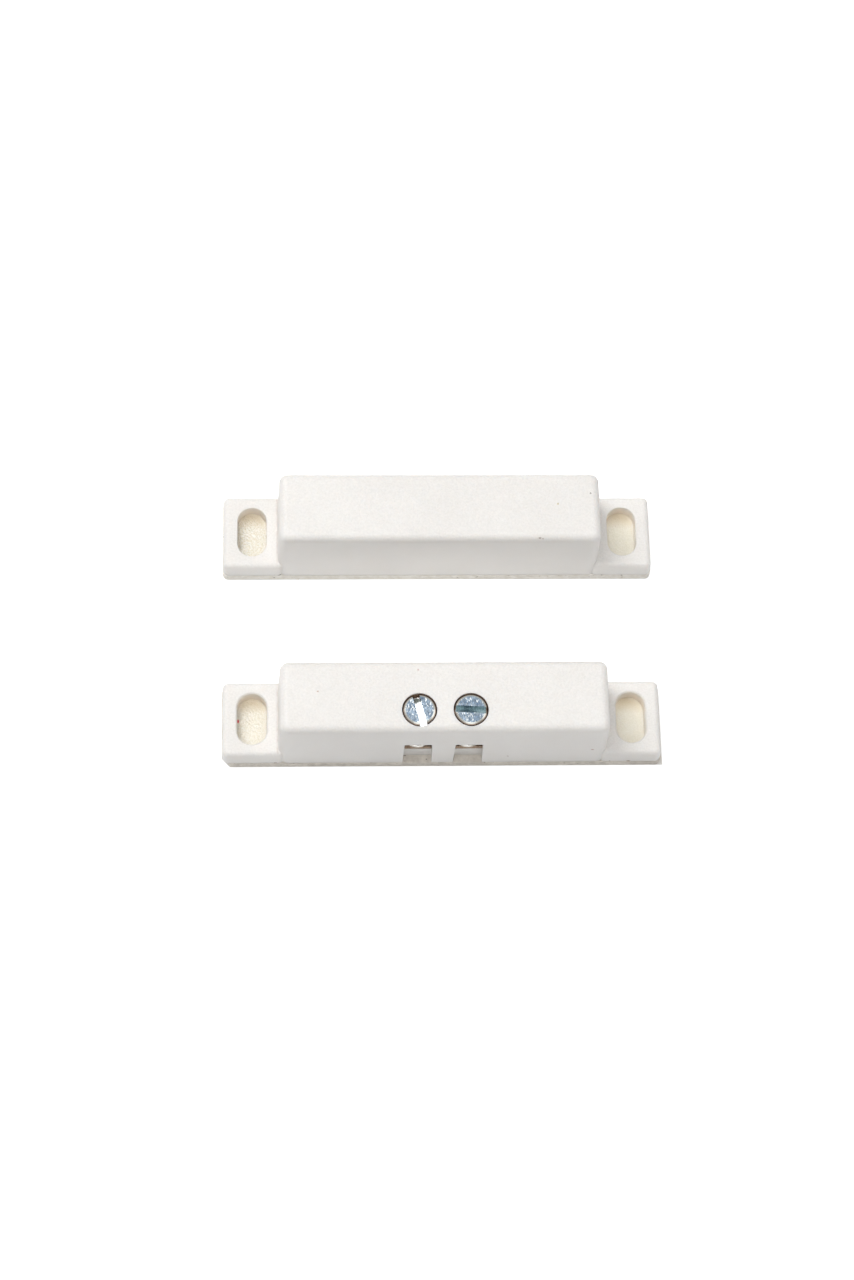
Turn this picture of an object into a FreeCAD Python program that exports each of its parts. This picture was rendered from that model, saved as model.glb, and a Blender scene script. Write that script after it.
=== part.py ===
import FreeCAD, Part

import math
import os

# A surface-mount magnetic door contact: the switch half with its two screw terminals, and
# the magnet half behind it. Millimetres, +X along both halves, +Y from the switch half to
# the magnet half, +Z up. The origin is the centre of the switch half's base.

# Outline of both moulded halves
length = 63.5             # over the ears
depth = 11.6              # front to back, at the base
housing_height = 12.0     # from the foam pad to the top face
draft = 2.0               # degrees, on the upright moulded faces
top_rounding = 1.2        # radius round the top face and of the upright corners there
half_spacing = 29.5       # between the centre lines of the two halves

# Ears and their mounting slots
ear_length = 7.95         # from the body's end wall, at the base
ear_height = 2.85
ear_rounding = 0.8
ear_lap = 1.0             # the ear's rounded inner end runs this far into the body
slot_width = 4.3
slot_length = 7.8
slot_setback = 4.3        # from the ear's end to the slot's middle
switch_slot_rim = 0.2     # bevel of the slot's upper edge
magnet_slot_rim = 0.08

# Shell of each half
wall = 1.1
step = 0.4                # the end and back walls are thicker above the insert
roof = 1.3

# Foam pads and their liners
foam_thickness = 1.2
liner_thickness = 0.12
pad_margin = 0.1          # the pad stands out past the housing all round
pad_corner = 0.8
clipped_corner = 1.2      # the switch pad's front left corner is cut off
liner_overhang = 0.45     # the switch liner sticks out at the right end

# Screw holes, wire notches and the guide block inside the switch housing
terminal_spacing = 7.3
terminal_setback = 3.64   # from the front of the base to the screws' axes
screw_hole = 5.0
guide_wall = 0.8
guide_corner = 0.6
guide_gap = 0.25          # from the guide block down to the reed's glass
notch_width = 4.2
notch_height = 6.7
notch_draft = 1.0         # degrees
notch_corner = 0.35

# Inserts that close the housings from below
insert_height = 2.3
insert_clearance = 0.05
separator_thickness = 0.9
separator_height = 2.6
separator_gap = 0.3       # from the separator to the front wall

# Terminal plates
plate_thickness = 0.8
plate_width = 5.2
plate_clearance = 0.1     # to the front wall
cradle_gap = 0.5          # from the plate's back edge to the reed's cradles
arm_front = 1.0           # from the screw axis to the arm's front edge, backwards
arm_end = 8.8             # from the middle of the half
heel_start = 7.4
tab_face = 10.2           # outer face of the upright tab
tab_width = 2.6
tab_rise = 0.9            # above the reed's axis
bend_radius = 1.2         # outer radius of the fold
hub_outer = 4.2
hub_length = 1.4
hub_clearance = 0.05

# Clamp washers
washer_outer = 4.9
washer_hole = 3.3
washer_edge = 0.45        # thickness at the rim
washer_middle = 0.6       # thickness at the hole

# Terminal screws
thread_diameter = 3.0
thread_clearance = 0.05
screw_reach = 2.2         # of the thread below the washer
tip_chamfer = 0.3
head_diameter = 4.66
head_proud = 0.05         # above the top face
head_bevel = 0.36         # across, round the top edge
head_bevel_drop = 0.2
driver_slot_width = 1.0
driver_slot_depth = 1.1
left_slot_angle = 103.4   # degrees from +X, as the screws were last turned
right_slot_angle = -3.5

# Reed switch
reed_height = 6.5         # of its axis above the pad
reed_gap = 0.28           # from its glass to the back wall's nearest place
glass_length = 14.0
glass_diameter = 2.3
glass_bore = 1.7
glass_seal = 1.5          # length of solid glass at each end
glass_taper = 0.5         # bevel of the sealed ends
glass_clearance = 0.03
lead_diameter = 0.6
lead_clearance = 0.02
lead_stub = 0.7           # of the lead past the tab
blade_width = 1.2
blade_thickness = 0.25
blade_gap = 0.1
blade_overlap = 1.2
blade_root = 0.4          # from the glass seal to the flattened part
cradle_place = 6.0        # from the middle of the half
cradle_thickness = 0.9
cradle_cheek = 0.25       # plastic beside the glass
solder_foot = 0.8         # radius on the tab
solder_neck = 0.45        # radius on the lead
solder_length = 0.5

# Bar magnet and its seat
magnet_length = 38.0
magnet_size = 6.0
magnet_chamfer = 0.4
magnet_clearance = 0.05
seat_place = 14.0         # of each seat from the middle of the half
seat_thickness = 2.0
seat_cheek = 0.8
seat_cheek_height = 2.0
rib_thickness = 1.2
rib_width = 4.0


def lean_over(height, angle):
    return height * math.tan(math.radians(angle))


# Lengths, levels and places that follow from the sizes above
body_length = length - 2 * ear_length
slot_x = length / 2 - slot_setback
base = liner_thickness + foam_thickness
top = base + housing_height
ear_top = base + ear_height
ceiling = top - roof
insert_top = base + insert_height
plate_top = insert_top + plate_thickness
washer_top = plate_top + washer_middle
terminal_x = terminal_spacing / 2
terminal_y = terminal_setback - depth / 2
reed_z = base + reed_height
reed_y = (depth / 2 - wall - step - lean_over(ceiling - base, draft)
          - glass_diameter / 2 - reed_gap)
cradle_groove = glass_diameter + 2 * glass_clearance
cradle_front = reed_y - cradle_groove / 2 - cradle_cheek
plate_back = cradle_front - cradle_gap
guide_bottom = reed_z + glass_diameter / 2 + guide_gap
magnet_bottom = reed_z - magnet_size / 2
magnet_top = reed_z + magnet_size / 2

origin = FreeCAD.Vector(0, 0, 0)
x_axis = FreeCAD.Vector(1, 0, 0)
y_axis = FreeCAD.Vector(0, 1, 0)
z_axis = FreeCAD.Vector(0, 0, 1)
quarter_turn = 90.0
full_turn = 360.0
pick_tolerance = 1e-4
sides = {"left": -1, "right": 1}


def vector(x, y, z):
    return FreeCAD.Vector(x, y, z)


# A box between two opposite corners.
def box(x0, x1, y0, y1, z0, z1):
    return Part.makeBox(x1 - x0, y1 - y0, z1 - z0, vector(x0, y0, z0))


def upright_cylinder(diameter, x, y, low, high):
    return Part.makeCylinder(diameter / 2, high - low, vector(x, y, low))


# A round bar along X.
def level_cylinder(diameter, x0, x1, y, z):
    return Part.makeCylinder(diameter / 2, x1 - x0, vector(x0, y, z), x_axis)


# A flat polygon in the XY plane, extruded upwards.
def prism(points, low, high):
    corners = [vector(x, y, low) for x, y in points]
    outline = Part.makePolygon(corners + corners[:1])
    return Part.Face(outline).extrude(vector(0, 0, high - low))


# A turned piece: its half section, given as radius and height, goes once round an upright axis.
def turned(section, x, y):
    corners = [vector(x + radius, y, height) for radius, height in section]
    outline = Part.makePolygon(corners + corners[:1])
    return Part.Face(outline).revolve(vector(x, y, 0), z_axis, full_turn)


# A block whose sides lean in as they rise, each pair by its own amount.
def leaning_block(half_x, half_y, lean_x, lean_y, low, high):
    block = Part.makeWedge(
        -half_x, low, -half_y, lean_y - half_y, lean_x - half_x,
        half_x, high, half_y, half_y - lean_y, half_x - lean_x)
    block.rotate(origin, x_axis, quarter_turn)
    return block


# A block with the same draft on its four sides. The lengths are those at the bottom.
def drafted_block(size_x, size_y, low, high):
    lean = lean_over(high - low, draft)
    return leaning_block(size_x / 2, size_y / 2, lean, lean, low, high)


# Upright section from x = 0 to a leaning wall, whose upper edge is rounded. The flat part of
# the top ends at x = flat.
def rounded_section(flat, rounding, low, high):
    angle = math.radians(draft)
    middle = (math.pi / 2 + angle) / 2
    level = high - rounding
    wall_end = vector(flat + rounding * math.cos(angle), 0, level + rounding * math.sin(angle))
    halfway = vector(flat + rounding * math.cos(middle), 0, level + rounding * math.sin(middle))
    foot = vector(flat + corner_reach(rounding, low, high), 0, low)
    edges = [
        Part.makeLine(vector(0, 0, high), vector(0, 0, low)),
        Part.makeLine(vector(0, 0, low), foot),
        Part.makeLine(foot, wall_end),
        Part.Arc(wall_end, halfway, vector(flat, 0, high)).toShape(),
    ]
    if flat > 0:
        edges.append(Part.makeLine(vector(flat, 0, high), vector(0, 0, high)))
    return Part.Face(Part.Wire(edges))


# How far the foot of a leaning wall stands out from where the rounding meets the flat top.
def corner_reach(rounding, low, high):
    return lean_over(high - rounding - low, draft) + rounding / math.cos(math.radians(draft))


# A moulded block: drafted sides, and a rounding that runs over the top edge and round the
# upright corners. The lengths are those at the bottom.
def moulded_block(size_x, size_y, rounding, low, high):
    reach = corner_reach(rounding, low, high)
    axis_x = size_x / 2 - reach
    axis_y = size_y / 2 - reach
    quarter = rounded_section(axis_x, rounding, low, high).extrude(vector(0, axis_y, 0))
    side = rounded_section(axis_y, rounding, low, high).extrude(vector(0, axis_x, 0))
    side.rotate(origin, z_axis, quarter_turn)
    side = side.mirror(origin, x_axis)
    corner = rounded_section(0, rounding, low, high)
    corner = corner.revolve(origin, z_axis, quarter_turn)
    corner.translate(vector(axis_x, axis_y, 0))
    quarter = quarter.fuse([side, corner])
    half = quarter.fuse(quarter.mirror(origin, x_axis))
    return half.fuse(half.mirror(origin, y_axis)).removeSplitter()


def round_uprights(block, radius):
    uprights = [
        edge for edge in block.Edges
        if abs(edge.Vertexes[0].Z - edge.Vertexes[-1].Z) > pick_tolerance]
    return block.makeFillet(radius, uprights)


def level_edges(shape, level):
    return [
        edge for edge in shape.Edges
        if all(abs(vertex.Z - level) < pick_tolerance for vertex in edge.Vertexes)]


# Bevels the upper edge of the slot at x.
def bevel_rim(shape, bevel, x):
    rim = [
        edge for edge in level_edges(shape, ear_top)
        if edge.BoundBox.XMin > x - slot_width / 2 - pick_tolerance
        and edge.BoundBox.XMax < x + slot_width / 2 + pick_tolerance
        and edge.BoundBox.YMin > -slot_length / 2 - pick_tolerance
        and edge.BoundBox.YMax < slot_length / 2 + pick_tolerance]
    return shape.makeChamfer(bevel, rim)


# An upright slot with round ends, longer along Y.
def slot_cutter(x, low, high):
    straight = slot_length - slot_width
    middle = box(x - slot_width / 2, x + slot_width / 2, -straight / 2, straight / 2, low, high)
    front = upright_cylinder(slot_width, x, -straight / 2, low, high)
    back = upright_cylinder(slot_width, x, straight / 2, low, high)
    return middle.fuse([front, back]).removeSplitter()


def ear(side, slot_rim):
    inner_end = body_length / 2 - ear_lap
    outer_end = length / 2
    plate = moulded_block(outer_end - inner_end, depth, ear_rounding, base, ear_top)
    plate.translate(vector(side * (inner_end + outer_end) / 2, 0, 0))
    plate = plate.cut(slot_cutter(side * slot_x, base, ear_top))
    return bevel_rim(plate, slot_rim, side * slot_x)


def housing_outside(slot_rim):
    body = moulded_block(body_length, depth, top_rounding, base, top)
    return body.fuse([ear(side, slot_rim) for side in sides.values()])


# The pocket for the insert, and the chamber above it, which a step in three of the walls
# makes smaller. The front wall keeps its thickness, so the terminals can stand close to it.
def housing_inside():
    pocket = drafted_block(body_length - 2 * wall, depth - 2 * wall, base, insert_top)
    chamber_length = body_length - 2 * (wall + step)
    chamber_depth = depth - 2 * wall - step
    chamber = drafted_block(chamber_length, chamber_depth, base, ceiling)
    chamber.translate(vector(0, -step / 2, 0))
    return pocket.fuse(chamber)


# Solid block under the roof that guides both screw heads.
def screw_guide():
    half_width = terminal_x + screw_hole / 2 + guide_wall
    back = terminal_y + screw_hole / 2 + guide_wall
    block = box(-half_width, half_width, -depth / 2, back, guide_bottom, top)
    return round_uprights(block, guide_corner)


# Cuts the way in for one wire through the front wall, from the base up.
def wire_notch(x):
    level = base + notch_height
    lean = lean_over(notch_height, notch_draft)
    notch = leaning_block(notch_width / 2, 2 * wall, lean, 0, base, level)
    corners = [
        edge for edge in level_edges(notch, level)
        if abs(edge.Vertexes[0].X - edge.Vertexes[-1].X) < pick_tolerance]
    notch = notch.makeFillet(notch_corner, corners)
    notch.translate(vector(x, -depth / 2, 0))
    return notch


def switch_housing():
    shell = housing_outside(switch_slot_rim).cut(housing_inside().cut(screw_guide()))
    for side in sides.values():
        x = side * terminal_x
        hole = upright_cylinder(screw_hole, x, terminal_y, insert_top, top)
        shell = shell.cut([hole, wire_notch(x)])
    return shell


# The magnet housing has no opening but its slots. Two ribs under its roof hold the magnet down.
def magnet_housing():
    inside = housing_inside()
    for side in sides.values():
        x = side * seat_place
        rib = box(x - rib_thickness / 2, x + rib_thickness / 2, -rib_width / 2, rib_width / 2,
                  magnet_top + magnet_clearance, ceiling)
        inside = inside.cut(rib)
    return housing_outside(magnet_slot_rim).cut(inside)


def insert_slab():
    gap = wall + insert_clearance
    return drafted_block(body_length - 2 * gap, depth - 2 * gap, base, insert_top)


# A grooved rib on the insert that the reed's glass lies in.
def reed_cradle(side):
    x0 = side * cradle_place - cradle_thickness / 2
    x1 = x0 + cradle_thickness
    rib = box(x0, x1, cradle_front, 2 * reed_y - cradle_front, insert_top, reed_z)
    return rib.cut(level_cylinder(cradle_groove, x0, x1, reed_y, reed_z))


def switch_base_insert():
    front = separator_gap + wall - depth / 2
    separator = box(-separator_thickness / 2, separator_thickness / 2, front, plate_back,
                    insert_top, insert_top + separator_height)
    insert = insert_slab().fuse([separator] + [reed_cradle(side) for side in sides.values()])
    pocket = hub_outer + 2 * hub_clearance
    for side in sides.values():
        floor = insert_top - hub_length - hub_clearance
        insert = insert.cut(
            upright_cylinder(pocket, side * terminal_x, terminal_y, floor, insert_top))
    return insert


# A stepped saddle on the insert: the magnet lies on it between two cheeks.
def magnet_seat(side):
    half_gap = magnet_size / 2 + magnet_clearance
    half_depth = half_gap + seat_cheek
    x0 = side * seat_place - seat_thickness / 2
    x1 = x0 + seat_thickness
    saddle = box(x0, x1, -half_depth, half_depth, insert_top, magnet_bottom + seat_cheek_height)
    return saddle.cut(
        box(x0, x1, -half_gap, half_gap, magnet_bottom, magnet_bottom + seat_cheek_height))


def magnet_base_insert():
    return insert_slab().fuse([magnet_seat(side) for side in sides.values()])


def bar_magnet():
    half = magnet_size / 2
    bar = box(-magnet_length / 2, magnet_length / 2, -half, half, magnet_bottom, magnet_top)
    long_edges = [edge for edge in bar.Edges if edge.Length > magnet_size + pick_tolerance]
    return bar.makeChamfer(magnet_chamfer, long_edges)


# The plate of the right terminal: pressed flat, with a drawn hub for the thread, an arm
# towards the end of the reed, and a tab folded up at the end of the arm for the lead.
def right_terminal_plate():
    lean = lean_over(plate_top - base, draft)
    front = plate_clearance + wall + lean - depth / 2
    arm_y = terminal_y + arm_front
    heel_back = reed_y + tab_width / 2
    left = terminal_x - plate_width / 2
    right = terminal_x + plate_width / 2
    blank = prism([
        (left, front), (right, front), (right, arm_y), (arm_end, arm_y),
        (arm_end, heel_back), (heel_start, heel_back), (heel_start, plate_back), (left, plate_back),
    ], insert_top, plate_top)
    hub = upright_cylinder(hub_outer, terminal_x, terminal_y, insert_top - hub_length, plate_top)
    bore = thread_diameter + 2 * thread_clearance
    thread = upright_cylinder(bore, terminal_x, terminal_y, insert_top - hub_length, plate_top)
    return blank.fuse([hub, folded_tab()]).removeSplitter().cut(thread)


# The upright tab in section, with its fold, drawn along X and extruded along Y.
def folded_tab():
    y = reed_y - tab_width / 2
    tab_top = reed_z + tab_rise
    inner = tab_face - plate_thickness
    bend_start = tab_face - bend_radius
    bend_top = insert_top + bend_radius
    inner_bend = bend_radius - plate_thickness
    middle_out = bend_radius * math.sqrt(0.5)
    middle_in = inner_bend * math.sqrt(0.5)
    outer_arc = Part.Arc(
        vector(bend_start, y, insert_top),
        vector(bend_start + middle_out, y, bend_top - middle_out),
        vector(tab_face, y, bend_top))
    inner_arc = Part.Arc(
        vector(inner, y, bend_top),
        vector(bend_start + middle_in, y, bend_top - middle_in),
        vector(bend_start, y, plate_top))
    outline = Part.Wire([
        Part.makeLine(vector(heel_start, y, insert_top), vector(bend_start, y, insert_top)),
        outer_arc.toShape(),
        Part.makeLine(vector(tab_face, y, bend_top), vector(tab_face, y, tab_top)),
        Part.makeLine(vector(tab_face, y, tab_top), vector(inner, y, tab_top)),
        Part.makeLine(vector(inner, y, tab_top), vector(inner, y, bend_top)),
        inner_arc.toShape(),
        Part.makeLine(vector(bend_start, y, plate_top), vector(heel_start, y, plate_top)),
        Part.makeLine(vector(heel_start, y, plate_top), vector(heel_start, y, insert_top)),
    ])
    tab = Part.Face(outline).extrude(vector(0, tab_width, 0))
    notch_size = lead_diameter + 2 * lead_clearance
    open_notch = box(inner, tab_face, reed_y - notch_size / 2,
                     reed_y + notch_size / 2, reed_z, tab_top)
    round_notch = level_cylinder(notch_size, inner, tab_face, reed_y, reed_z)
    return tab.cut([open_notch, round_notch])


# The washer is thicker at its hole, so its rim springs onto the wire.
def clamp_washer(side):
    hole = washer_hole / 2
    rim = washer_outer / 2
    section = [
        (hole, plate_top), (rim, plate_top), (rim, plate_top + washer_edge),
        (head_diameter / 2 - head_bevel, washer_top), (hole, washer_top),
    ]
    return turned(section, side * terminal_x, terminal_y)


# The screw's long barrel head reaches from the washer to the top face.
def terminal_screw(side, slot_angle):
    x = side * terminal_x
    thread = thread_diameter / 2
    head = head_diameter / 2
    head_top = top + head_proud
    tip = plate_top - screw_reach
    section = [
        (0, tip), (thread - tip_chamfer, tip), (thread, tip + tip_chamfer), (thread, washer_top),
        (head, washer_top), (head, head_top - head_bevel_drop), (head - head_bevel, head_top),
        (0, head_top),
    ]
    screw = turned(section, x, terminal_y)
    half_slot = driver_slot_width / 2
    slot = box(x - head, x + head, terminal_y - half_slot, terminal_y + half_slot,
               head_top - driver_slot_depth, head_top)
    slot.rotate(vector(x, terminal_y, 0), z_axis, slot_angle)
    return screw.cut(slot)


# A glass tube closed at both ends round the leads.
def reed_glass():
    half = glass_length / 2
    tube = level_cylinder(glass_diameter, -half, half, reed_y, reed_z)
    rims = [edge for edge in tube.Edges if len(edge.Vertexes) == 1]
    tube = tube.makeChamfer(glass_taper, rims)
    inside = half - glass_seal
    hollow = level_cylinder(glass_bore, -inside, inside, reed_y, reed_z)
    leads = level_cylinder(lead_diameter + 2 * lead_clearance, -half, half, reed_y, reed_z)
    return tube.cut([hollow, leads])


# One blade with its lead. The two blades overlap in the middle with a gap between them.
def reed_blade(side):
    root = glass_length / 2 - glass_seal - blade_root
    end = tab_face + lead_stub
    lead = level_cylinder(lead_diameter, root, end, reed_y, reed_z)
    half_width = blade_width / 2
    blade = box(-blade_overlap / 2, root + blade_root / 2, reed_y - half_width,
                reed_y + half_width, reed_z + blade_gap / 2,
                reed_z + blade_gap / 2 + blade_thickness)
    right = lead.fuse(blade)
    if side > 0:
        return right
    return right.rotated(vector(0, reed_y, reed_z), y_axis, 2 * quarter_turn)


# Solder against the outer face of the tab, tapering onto the lead.
def solder_joint(side):
    foot = vector(tab_face, reed_y, reed_z)
    joint = Part.makeCone(solder_foot, solder_neck, solder_length, foot, x_axis)
    hole = level_cylinder(lead_diameter + 2 * lead_clearance, tab_face, tab_face + solder_length,
                          reed_y, reed_z)
    right = joint.cut(hole)
    return right if side > 0 else right.mirror(origin, x_axis)


# Outline of a pad with four equal round corners.
def pad_block(low, high):
    half_x = length / 2 + pad_margin
    half_y = depth / 2 + pad_margin
    return round_uprights(box(-half_x, half_x, -half_y, half_y, low, high), pad_corner)


# The triangle that is missing at the front left corner of the switch half's pad.
def corner_clip(low, high):
    left = -length / 2 - pad_margin
    front = -depth / 2 - pad_margin
    return prism([
        (left, front), (left + clipped_corner, front), (left, front + clipped_corner)], low, high)


def switch_foam_pad():
    return pad_block(liner_thickness, base).cut(corner_clip(liner_thickness, base))


def switch_release_liner():
    half_x = length / 2 + pad_margin
    half_y = depth / 2 + pad_margin
    square_end = box(half_x - pad_corner - pad_margin, length / 2 + liner_overhang,
                     -half_y, half_y, 0, liner_thickness)
    liner = pad_block(0, liner_thickness).fuse(square_end).removeSplitter()
    return liner.cut(corner_clip(0, liner_thickness))


def to_magnet_half(shape):
    return shape.translated(vector(0, half_spacing, 0))


def all_parts():
    plate = right_terminal_plate()
    parts = {
        "switch_housing": switch_housing(),
        "switch_base_insert": switch_base_insert(),
        "terminal_plate_left": plate.mirror(origin, x_axis),
        "terminal_plate_right": plate,
        "terminal_screw_left": terminal_screw(sides["left"], left_slot_angle),
        "terminal_screw_right": terminal_screw(sides["right"], right_slot_angle),
        "reed_glass": reed_glass(),
        "switch_foam_pad": switch_foam_pad(),
        "switch_release_liner": switch_release_liner(),
        "magnet_housing": to_magnet_half(magnet_housing()),
        "magnet_base_insert": to_magnet_half(magnet_base_insert()),
        "bar_magnet": to_magnet_half(bar_magnet()),
        "magnet_foam_pad": to_magnet_half(pad_block(liner_thickness, base)),
        "magnet_release_liner": to_magnet_half(pad_block(0, liner_thickness)),
    }
    for name, side in sides.items():
        parts["clamp_washer_" + name] = clamp_washer(side)
        parts["reed_blade_" + name] = reed_blade(side)
        parts["solder_joint_" + name] = solder_joint(side)
    return parts


os.makedirs("parts", exist_ok=True)
for name, shape in all_parts().items():
    solid = shape.removeSplitter().Solids[0]
    print(name, "volume", round(solid.Volume, 2), "valid", solid.isValid(), "solids", len(shape.Solids))
    solid.exportStep("parts/" + name + ".step")
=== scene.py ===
import math

import bmesh
import bpy
from mathutils import Matrix, Vector, noise


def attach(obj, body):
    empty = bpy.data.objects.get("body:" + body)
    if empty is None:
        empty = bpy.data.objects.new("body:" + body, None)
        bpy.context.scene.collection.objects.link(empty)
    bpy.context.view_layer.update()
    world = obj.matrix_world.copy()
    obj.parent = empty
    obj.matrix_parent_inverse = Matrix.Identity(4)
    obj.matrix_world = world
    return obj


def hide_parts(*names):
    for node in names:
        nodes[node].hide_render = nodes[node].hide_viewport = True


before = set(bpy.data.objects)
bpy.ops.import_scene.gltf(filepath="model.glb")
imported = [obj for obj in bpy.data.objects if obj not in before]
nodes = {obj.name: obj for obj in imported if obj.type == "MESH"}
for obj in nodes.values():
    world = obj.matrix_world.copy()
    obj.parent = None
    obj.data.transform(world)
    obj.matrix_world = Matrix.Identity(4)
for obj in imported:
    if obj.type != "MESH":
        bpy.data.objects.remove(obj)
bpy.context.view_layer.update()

mm = 0.001

# Levels and places repeated from the CAD source, in mm
linerTop = 0.12
base = 1.32
earTop = 4.17
bodyTop = 13.32
halfLength = 31.75
halfDepth = 5.8
bodyEnd = 23.75
magnetY = 29.5
slotX = 27.45
slotRadius = 2.15
slotStraight = 1.75
terminalX = 3.65
terminalY = -2.16


# A colour written as sRGB hex, as the linear one with full alpha that the shaders take
def linear(code):
    channels = [int(code[i:i + 2], 16) / 255 for i in (0, 2, 4)]
    light = [c / 12.92 if c <= 0.04045 else ((c + 0.055) / 1.055) ** 2.4 for c in channels]
    return (*light, 1.0)


def newMaterial(name):
    material = bpy.data.materials.new(name)
    material.use_nodes = True
    tree = material.node_tree
    shader = next(n for n in tree.nodes if n.type == "BSDF_PRINCIPLED")
    return material, tree, shader


# Adds one node with its settings. An input is given a plain value, a socket, or a node, whose
# first output is then linked.
def add(tree, kind, inputs=None, **settings):
    node = tree.nodes.new("ShaderNode" + kind)
    for key, value in settings.items():
        setattr(node, key, value)
    for key, value in (inputs or {}).items():
        if isinstance(value, bpy.types.Node):
            value = value.outputs[0]
        if isinstance(value, bpy.types.NodeSocket):
            tree.links.new(value, node.inputs[key])
        else:
            node.inputs[key].default_value = value
    return node


# Object coordinates in mm, so every pattern scale below is in real millimetres
def place(tree):
    coordinates = add(tree, "TexCoord")
    return add(tree, "VectorMath", {0: coordinates.outputs["Object"], "Scale": 1 / mm},
               operation="SCALE").outputs[0]


# Patches of one size in mm, from low to high. The edges are the noise levels where they start
# and end, so close edges give specks and far ones give a soft cloud.
def patches(tree, where, size, low=0.0, high=1.0, detail=2.0, edges=(0.3, 0.7)):
    cloud = add(tree, "TexNoise", {"Vector": where, "Scale": 1 / size, "Detail": detail})
    return add(tree, "MapRange", {"Value": cloud, "From Min": edges[0], "From Max": edges[1],
                                  "To Min": low, "To Max": high}).outputs[0]


# Two colours in patches
def mottled(tree, where, size, first, second, detail=3.0, edges=(0.3, 0.7)):
    share = patches(tree, where, size, detail=detail, edges=edges)
    return add(tree, "Mix", {0: share, 6: linear(first), 7: linear(second)},
               data_type="RGBA").outputs[2]


# The edge of a mark, in shares of its half sizes: where it starts, where the mark is full, and how
# far both wander. raggedSize is the size of the wandering in mm.
markEdge = {"outer": 1.2, "inner": 0.6, "ragged": 0.4, "raggedSize": 0.12}


# Blends a colour over another where a mark lies: an ellipsoid round a point, with a ragged edge
def marked(tree, colour, where, centre, reach, code):
    away = add(tree, "VectorMath", {0: where, 1: centre}, operation="SUBTRACT")
    away = add(tree, "VectorMath", {0: away, 1: reach}, operation="DIVIDE")
    length = add(tree, "VectorMath", {0: away}, operation="LENGTH").outputs["Value"]
    wander = patches(tree, where, markEdge["raggedSize"], -markEdge["ragged"], markEdge["ragged"])
    ragged = add(tree, "Math", {0: length, 1: wander}, operation="ADD")
    share = add(tree, "MapRange", {"Value": ragged, "From Min": markEdge["outer"],
                                   "From Max": markEdge["inner"]})
    return add(tree, "Mix", {0: share, 6: colour, 7: linear(code)}, data_type="RGBA").outputs[2]


# How far a place is from the middle line of an ear's slot, in mm. Both ears are covered at once.
def slotDistance(tree, where, y):
    moved = add(tree, "VectorMath", {0: where, 1: (0.0, y, 0.0)}, operation="SUBTRACT")
    folded = add(tree, "VectorMath", {0: moved}, operation="ABSOLUTE")
    away = add(tree, "VectorMath", {0: folded, 1: (slotX, slotStraight, 0.0)}, operation="SUBTRACT")
    away = add(tree, "SeparateXYZ", {0: away})
    beyond = add(tree, "Math", {0: away.outputs["Y"], 1: 0.0}, operation="MAXIMUM")
    level = add(tree, "CombineXYZ", {"X": away.outputs["X"], "Y": beyond})
    return add(tree, "VectorMath", {0: level}, operation="LENGTH").outputs["Value"]


# How far a place is from an upright axis, in mm
def axisDistance(tree, where, x, y):
    away = add(tree, "VectorMath", {0: where, 1: (x, y, 0.0)}, operation="SUBTRACT")
    level = add(tree, "VectorMath", {0: away, 1: (1.0, 1.0, 0.0)}, operation="MULTIPLY")
    return add(tree, "VectorMath", {0: level}, operation="LENGTH").outputs["Value"]


def dress(name, material):
    nodes[name].data.materials.clear()
    nodes[name].data.materials.append(material)


# Sizes, reaches, depths and heights are in mm. In a pair of them, a change starts at the first and
# is complete at the second. slotReach counts from the slot's radius, slotDepth from the ear's top
# and the foam. The slot walls' colour is painted warm bounce light, and slotTop and slotFront are
# the shares of it that are left there. bore is painted shade in the screw holes, grainTone painted
# shade in the grain's hollows, and glowTint how far red, green and blue spread, as shares of
# glowReach.
housing = {
    "white": "F8F5F1", "shade": "F4F1ED", "cloudSize": 9.0,
    "grainSize": 0.28, "grainDepth": 0.05, "grainTone": 0.11, "wallGrain": 0.08,
    "grainFacing": (0.2, 0.9), "roughness": (0.42, 0.54), "roughnessSize": 0.6,
    "glow": 0.4, "glowReach": 1.0, "glowTint": (1.0, 0.9, 0.8),
    "crease": "C6B2A4", "creaseReach": (0.22, 0.05), "creaseCloud": 1.4, "creaseMost": 0.45,
    "slotBounce": "FBEFE0", "slotReach": (0.2, 0.1), "slotDepth": (0.1, 0.6), "slotTop": 0.1,
    "slotRear": 2.5, "slotFront": 0.3,
    "bore": "B08E72", "boreRadius": (2.56, 2.52), "boreHeight": (13.22, 12.9),
}
# Each mark: centre and half sizes in mm, and its colour
marks = {
    "switch_housing": [
        ((-18.03, 0.66, bodyTop), (0.14, 0.14, 0.2), "D2BCB2"),
        ((-3.72, 3.88, bodyTop), (0.15, 0.15, 0.2), "E0C8C2"),
        ((21.43, -5.64, 5.95), (0.24, 0.2, 0.12), "B48674"),
        ((9.43, -5.72, 3.62), (0.16, 0.2, 0.1), "A9968A"),
        ((27.07, -5.77, 1.45), (0.3, 0.3, 0.2), "B29C8C"),
        ((24.31, -5.44, 1.45), (0.2, 0.4, 0.25), "A08C7E"),
        ((-24.1, -5.5, 1.5), (0.25, 0.4, 0.3), "8F7868"),
    ],
    "magnet_housing": [
        ((22.06, 31.51, bodyTop), (0.12, 0.12, 0.2), "9C948C"),
        ((17.21, 29.81, bodyTop), (0.16, 0.16, 0.2), "D6CBAA"),
        ((14.42, 24.55, 13.0), (0.26, 0.2, 0.08), "A8968A"),
        ((14.86, 24.55, 12.92), (0.2, 0.2, 0.07), "B6A79C"),
        ((-24.1, 24.2, 1.5), (0.25, 0.4, 0.3), "7A6658"),
        ((-23.4, 23.75, 1.42), (0.3, 0.3, 0.12), "6E5A4C"),
    ],
}
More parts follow.
